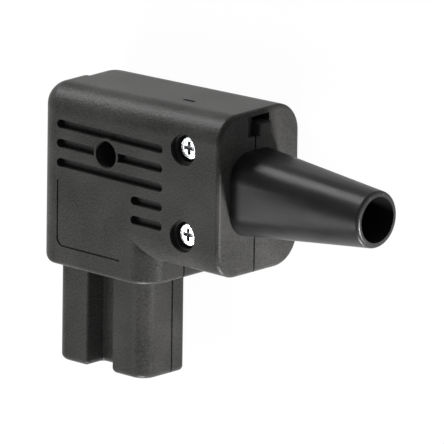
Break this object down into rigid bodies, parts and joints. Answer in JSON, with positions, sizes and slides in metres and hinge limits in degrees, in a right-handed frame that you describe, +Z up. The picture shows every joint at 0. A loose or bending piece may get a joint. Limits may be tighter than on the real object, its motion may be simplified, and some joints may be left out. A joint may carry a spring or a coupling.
{
  "type": "right-angle appliance connector",
  "caption": "Rewirable right-angle appliance connector with a grooved nose, a split screwed housing, side slots and a tapered rubber sleeve at the cable exit.",
  "frame": {"origin": "middle of the mating face, on the plane where the two housing halves meet", "axes": "+X out of the cable exit, +Y away from the mating face, +Z up through the screw heads; the part lies on its far side at z = -12.4 mm"},
  "size_m": [0.0809, 0.0575, 0.023],
  "materials": {
    "housing": "black, finely spark-eroded, matte",
    "sleeve": "smooth, semi-matte",
    "plated_screw": "bright zinc plating",
    "plated_nut": "bright zinc plating",
    "contact_brass": "rolled brass strip",
    "terminal_brass": "sawn and drilled brass",
    "clamp_plastic": "dark grey, moulded"
  },
  "bodies": {
    "root": {"near_shell": "housing", "far_shell": "housing", "kink_sleeve": "sleeve", "upper_housing_screw": "plated_screw", "lower_housing_screw": "plated_screw", "deep_housing_screw": "plated_screw", "upper_housing_nut": "plated_nut", "lower_housing_nut": "plated_nut", "deep_housing_nut": "plated_nut", "line_contact": "contact_brass", "neutral_contact": "contact_brass", "earth_contact": "contact_brass", "line_terminal": "terminal_brass", "neutral_terminal": "terminal_brass", "earth_terminal": "terminal_brass", "line_terminal_screw": "plated_screw", "neutral_terminal_screw": "plated_screw", "earth_terminal_screw": "plated_screw", "cord_clamp_bar": "clamp_plastic", "lower_clamp_screw": "plated_screw", "upper_clamp_screw": "plated_screw"}
  },
  "joints": []
}
